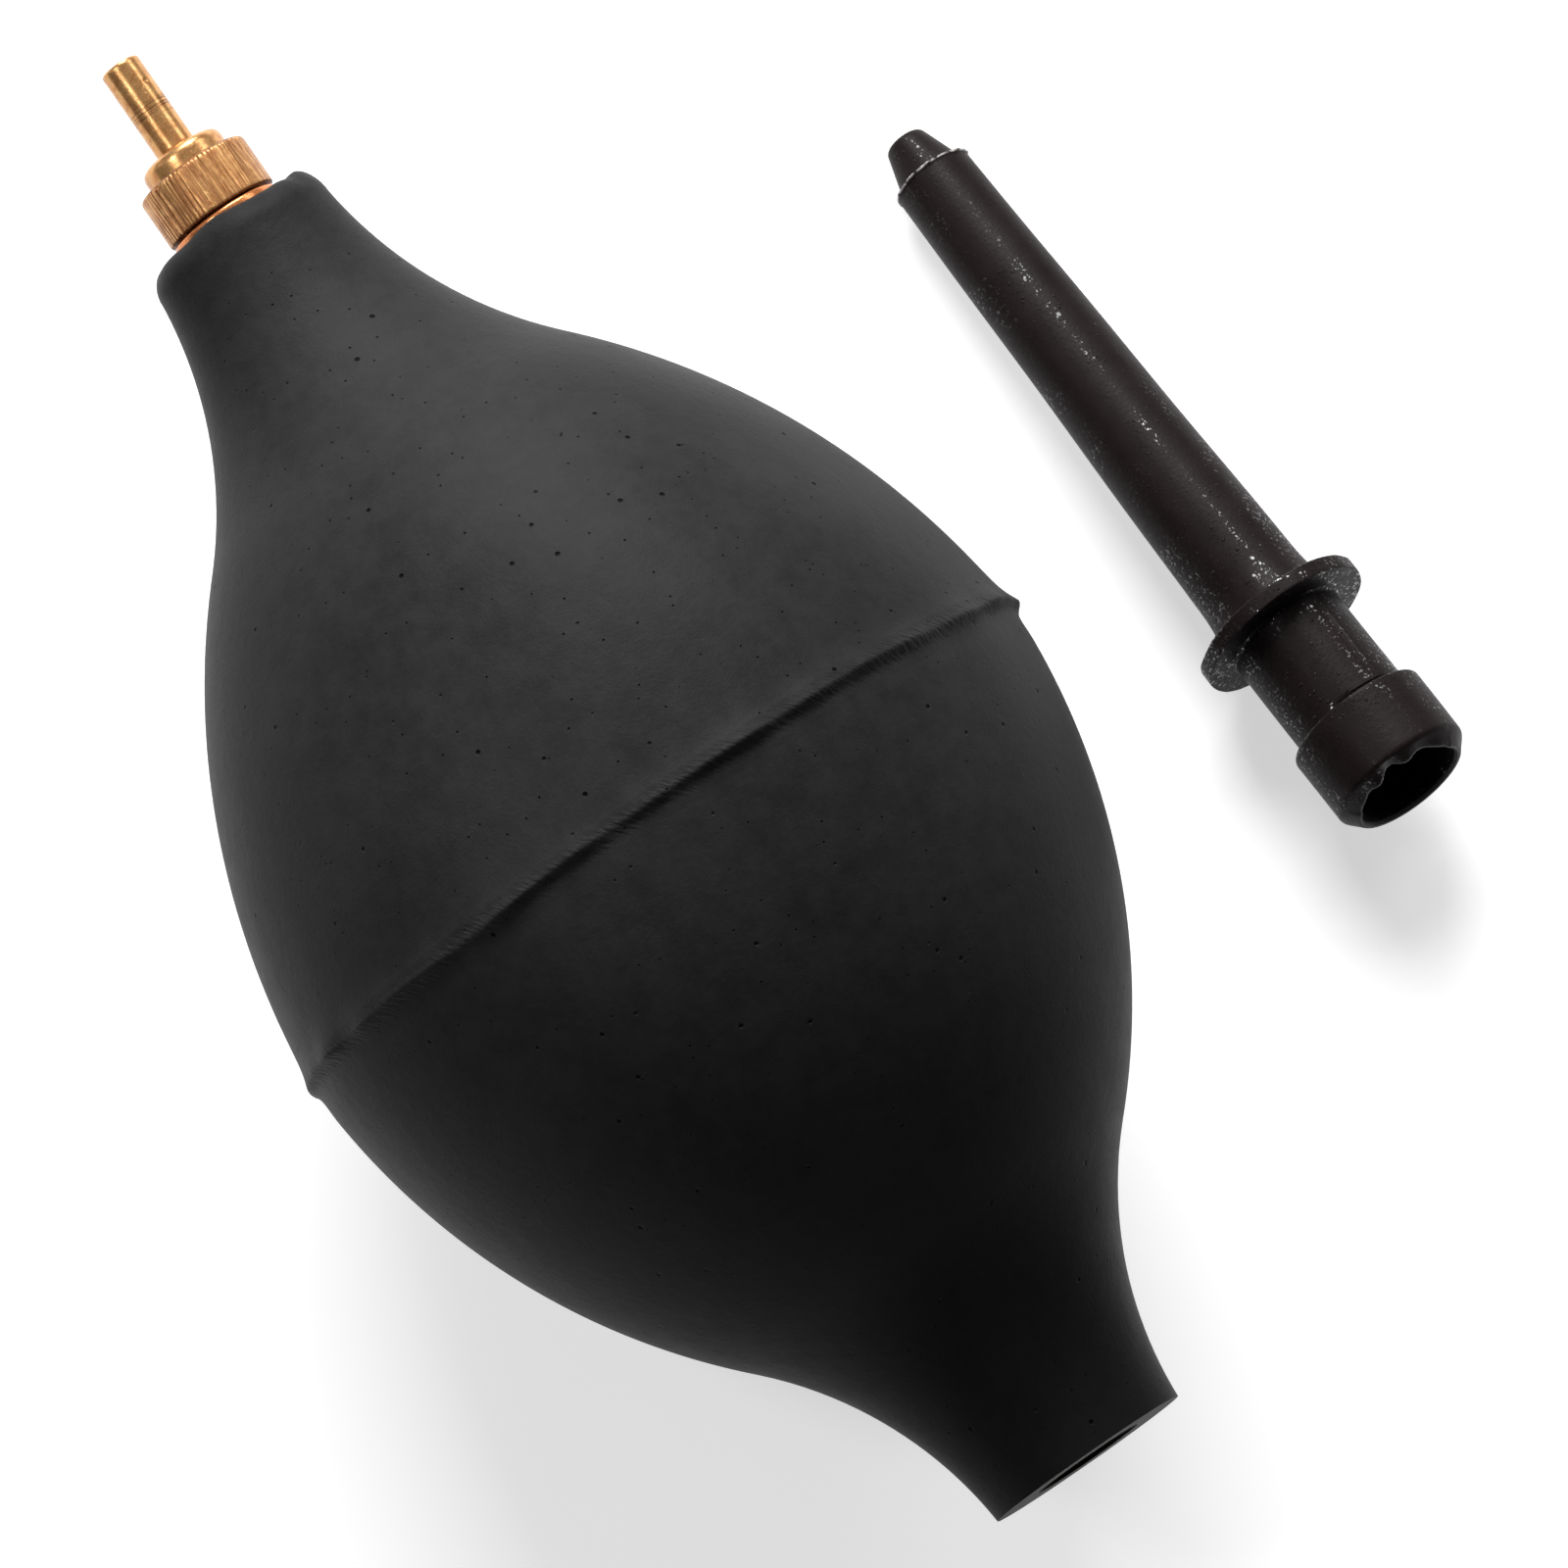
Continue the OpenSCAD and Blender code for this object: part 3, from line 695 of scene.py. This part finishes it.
steel = worked("ground_steel", (0.62, 0.63, 0.66), (0.42, 0.43, 0.45), 1.0, 0.08, 3.0, 0.004)
wire = worked("drawn_wire", (0.50, 0.50, 0.52), (0.24, 0.23, 0.23), 1.0, 0.22, 8.0, 0.01)
fibre = worked("pressed_fibre", (0.30, 0.09, 0.045), (0.17, 0.045, 0.02), 0.0, 0.7, 9.0, 0.03)
disc = worked("stamped_brass", GOLD, DEEP_GOLD, 1.0, 0.2, 4.0, 0.01)
nodes = frame["nodes"]
steel.on(nodes["outlet_ball"], nodes["inlet_ball"])
fibre.on(nodes["jet_washer"])
disc.on(nodes["inlet_retainer"])
print("finished two balls, a washer and a retainer")

# %% [markdown]
# ## The valve spring
# A light compression spring holds the outlet ball on its seat. The first and last turns
# of a real one lie closed, so that it stands square. A curve with a round bevel would
# give the wire, but the mesh is swept here ring by ring, because the pitch has to open
# and close along it. The share of its length that it keeps when the ball lifts is only worked out and printed.

# %% Path of the wire
SPRING_R, WIRE_R, TURNS, CLOSED_PITCH = 1.5, 0.15, 6.5, 0.33
OFF_BALL = 0.08  # how far the first turn stays clear of the ball
from_bulb = bulb_place.inverted()
ends = [(from_bulb @ point.co).z for point in nodes["outlet_spring"].data.vertices]
spring_low, spring_high = min(ends) + OFF_BALL, max(ends)
turn = np.linspace(0, TURNS, 200)
pitch_at = (1, 1.5, TURNS - 1.5, TURNS - 1)
pitch = np.interp(turn, pitch_at, (CLOSED_PITCH, 1, 1, CLOSED_PITCH))
climb = np.concatenate([[0], np.cumsum(pitch[1:] + pitch[:-1])])
climb = spring_low + WIRE_R + climb / climb[-1] * (spring_high - spring_low - 2 * WIRE_R)
print("spring from", round(spring_low, 2), "to", round(spring_high, 2), "mm")

# %% Sweep the wire along it
WIRE_SIDES = 10
section = np.arange(WIRE_SIDES) / WIRE_SIDES * 2 * math.pi
coil_radius = SPRING_R + WIRE_R * np.cos(section)[None, :]
angle = turn[:, None] * 2 * math.pi
coil_height = climb[:, None] + WIRE_R * np.sin(section)[None, :]
coil = [coil_radius * np.cos(angle), coil_radius * np.sin(angle), coil_height]
walls = [
    [a, b, b + WIRE_SIDES, a + WIRE_SIDES]
    for ring in range(len(turn) - 1)
    for k in range(WIRE_SIDES)
    for a, b in [(ring * WIRE_SIDES + k, ring * WIRE_SIDES + (k + 1) % WIRE_SIDES)]
]
last = (len(turn) - 1) * WIRE_SIDES
cut_ends = [list(range(WIRE_SIDES))[::-1], [last + k for k in range(WIRE_SIDES)]]
spring = built("outlet_spring_wound", np.stack(coil, -1).reshape(-1, 3), walls + cut_ends, bulb_place)
wire.on(spring)
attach(spring, "bulb")
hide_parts("outlet_spring")
lift = joints["outlet_lift"]["range_m"][1] / MM
kept = 1 - lift / (spring_high - spring_low)
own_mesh(spring)
print("the spring shortens to", round(kept, 3), "of its length")

# %% [markdown]
# ## The plastic nozzle
# The nozzle is a cheap hollow moulding. It plugs into a hose or a socket with its
# beaded end, stops at a flange, and tapers to a small outlet. Its faults make it look
# real: a ragged lip of flash at the mouth, a raised edge of flash at the step before the
# tip, a parting line along the barrel, and a tube that isn't quite straight-walled.

# %% Outline of the nozzle
MOUTH_R, PLUG_BEAD_R, PLUG_BEAD_LEN, PLUG_R = 4.15, 5.75, 7.0, 4.78
STOP_AT, STOP_R, STOP_END = 16.1, 7.2, 17.4
FLARE_LEN, ROOT_R, STEP_AT, STEP_R = 4.4, 4.35, 63.2, 3.25
TIP_ROOT_R, TIP_R, TIP_END, OUTLET_R = 2.8, 1.65, 67.0, 0.95
BEAD_END, LIP = PLUG_BEAD_LEN, 0.12
flare_end = STOP_END + FLARE_LEN
left = np.linspace(FLARE_LEN, 0, 9)
flare = [(ROOT_R + 0.53 * (z / FLARE_LEN) ** 2, STOP_END + FLARE_LEN - z, 0) for z in left]
nozzle_line = eased([
    (MOUTH_R, 0.7, 0), (4.48, 0, 0.05), (4.75, 0, 0.08),
    (PLUG_BEAD_R, 1.2, 0.25), (PLUG_BEAD_R, PLUG_BEAD_LEN, 0.3), (PLUG_R, PLUG_BEAD_LEN, 0.12),
    (PLUG_R, STOP_AT, 0.35), (STOP_R, STOP_AT, 0.1), (STOP_R, STOP_END, 0.22), *flare,
    (STEP_R, STEP_AT - 0.5, 0), (STEP_R, STEP_AT - 0.2, 0), (STEP_R + LIP / 2, STEP_AT - LIP, 0),
    (STEP_R + LIP, STEP_AT - LIP / 2, 0), (STEP_R + LIP, STEP_AT, 0), (TIP_ROOT_R, STEP_AT, 0.1),
    (TIP_R, TIP_END, 0.4), (OUTLET_R, TIP_END, 0.15), (OUTLET_R, STEP_AT, 0),
    (STEP_R - 0.9, STEP_AT - 3, 0), (ROOT_R - 1.25, flare_end, 0), (MOUTH_R, STOP_AT - 1, 0),
])
SEAM_H, SEAM_MID, SEAM_ANGLE = 0.17, 11.5, math.radians(39)
nozzle_bow = uneven(41, 0.035, 3, 0.05)
lip_wave = uneven(42, 0.28, 13, 0)
edge_wave = uneven(43, 0.05, 9, 0)
flash_wave = uneven(44, 0.06, 24, 0)


def nozzle_faults(radius, height, around):
    """The ragged mouth, the flash at the step, the parting line and a slow swell."""
    outside = radius > np.interp(height, [0, 16, 22, 62], [4.3, 4.3, 3.8, 2.7])
    toward = apart(around, TOWARD_EYE)
    bite = np.clip(1 - np.abs(toward + 0.05) / 1.15, 0, 1) ** 0.6
    ragged = bite * (0.75 + lip_wave(around, 0))
    at_mouth = np.clip(1 - height / 1.0, 0, 1)
    height = height + at_mouth * np.clip(ragged, 0, 1.4)
    seam = SEAM_H * hump(toward, SEAM_ANGLE, 0.016) * hump(height, SEAM_MID, 4.5)
    flash = hump(height, STEP_AT - LIP / 2, LIP) * np.clip(flash_wave(around, 0), -0.06, 0.10)
    pressed = 0.28 * hump(apart(around, 0), 0, 0.55) * hump(height, STEP_AT - LIP / 2, 0.4)
    crease = hump(height, BEAD_END + 0.12, 0.14) * np.clip(toward + 0.35, 0, 0.5)
    swell = nozzle_bow(around, height) * np.clip((height - 2) / 6, 0, 1)
    edge = edge_wave(around, 0) * np.where(radius > 6.6, 1, 0)
    pushed = seam + flash + swell - np.abs(edge) - 0.6 * crease - pressed
    radius = radius + np.where(outside, pushed, 0)
    return radius, height + 0.6 * edge


nozzle = turned("nozzle_moulding", spaced(nozzle_line, 0.3), 224, nozzle_place, nozzle_faults)

# %% [markdown]
# ## Nozzle plastic
# The plastic is a brownish black with a soft, uneven gloss. Small bright sparks sit in it
# where the mould's surface was rough, most of all below the flange and at the root of the
# tube. They could be painted on in white, but then they would stay bright in the shade.
# So they are glossy blisters: little bumps with a clear coat that catch the lamps. Torn
# edges at the mouth turn pale as such plastic does. The flash edge at the step before the
# tip is painted near white: partly its own torn paleness, partly a painted highlight.

# %% Plastic finish
plastic = Finish("black_plastic", Specular_IOR_Level=0.09, Coat_Roughness=0.1, Coat_IOR=1.9)
spot = plastic.rest()
mottle = plastic.noise(spot, 0.45, 5.0, 0.6)
pebble = plastic.noise(spot, 3.2, 3.0, 0.55)
pale_torn, pale_tear_and_painted_highlight = (0.30, 0.285, 0.28), (0.80, 0.77, 0.75)
rough_mould = plastic.noise(spot, 0.22, 2.0).between(0.48, 0.62)
height = plastic.part(spot, 2)
at_flange = height.between(STOP_AT - 2.5, STOP_AT) * height.between(STOP_END + 0.3, STOP_END)
at_root = height.between(STOP_END + 1, STOP_END + 4) * height.between(STOP_END + 10, STOP_END + 5)
at_bead = height.between(BEAD_END - 2.5, BEAD_END - 0.5) * height.between(STOP_AT, BEAD_END)
rough_mould = rough_mould * 0.35 + at_flange * 0.6 + at_root * 0.5 + at_bead * 0.4 + 0.04
blisters = plastic.dots(spot, 1.3, 0.17) + plastic.noise(spot, 4.2, 2.0, 0.5).between(0.60, 0.64)
sparks = blisters * rough_mould
radius = plastic.off_axis(spot)
tear_and_highlight_patches = plastic.noise(spot, 1.6, 3.0).between(0.35, 0.6)
at_lip = height.between(STEP_AT - LIP * 1.4, STEP_AT - LIP) * height.between(STEP_AT + 0.1, STEP_AT)
at_lip = at_lip * radius.between(STEP_R - 0.02, STEP_R + LIP * 0.3) * tear_and_highlight_patches
at_mouth = height.between(2.4, 2.0) * radius.between(4.70, 4.55) * radius.between(4.30, 4.40)
# painted shade: the bore inside the plug is coloured near black; it is also made rougher
inside = height.between(15.0, 14.0) * radius.between(4.42, 4.30)
# painted shade: the crease where the plug bead meets the plug is coloured near black
crease = height.between(BEAD_END - 0.02, BEAD_END + 0.02)
crease = crease * height.between(BEAD_END + 0.4, BEAD_END + 0.2)
tone = plastic.mix(mottle, (0.0070, 0.0040, 0.0040), (0.0150, 0.0098, 0.0100))
tone = plastic.mix(crease * 0.8, tone, (0.001, 0.0008, 0.0008))
tone = plastic.mix(inside, tone, (0.0006, 0.0005, 0.0005))
tone = plastic.mix(at_mouth * 0.6, tone, pale_torn)
# the step's flash edge is coloured near white: part pale tear, part painted highlight
tone = plastic.mix(at_lip, tone, pale_tear_and_painted_highlight)
plastic.set("Base Color", tone)
plastic.set("Roughness", mottle * 0.2 - sparks * 0.15 + inside * 0.5 + 0.36)
plastic.set("Coat Weight", sparks + at_lip)
plastic.relief(pebble * 0.02 + sparks * 0.16 + mottle * 0.04)
plastic.on(nozzle)
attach(nozzle, "nozzle")
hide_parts("plastic_nozzle")
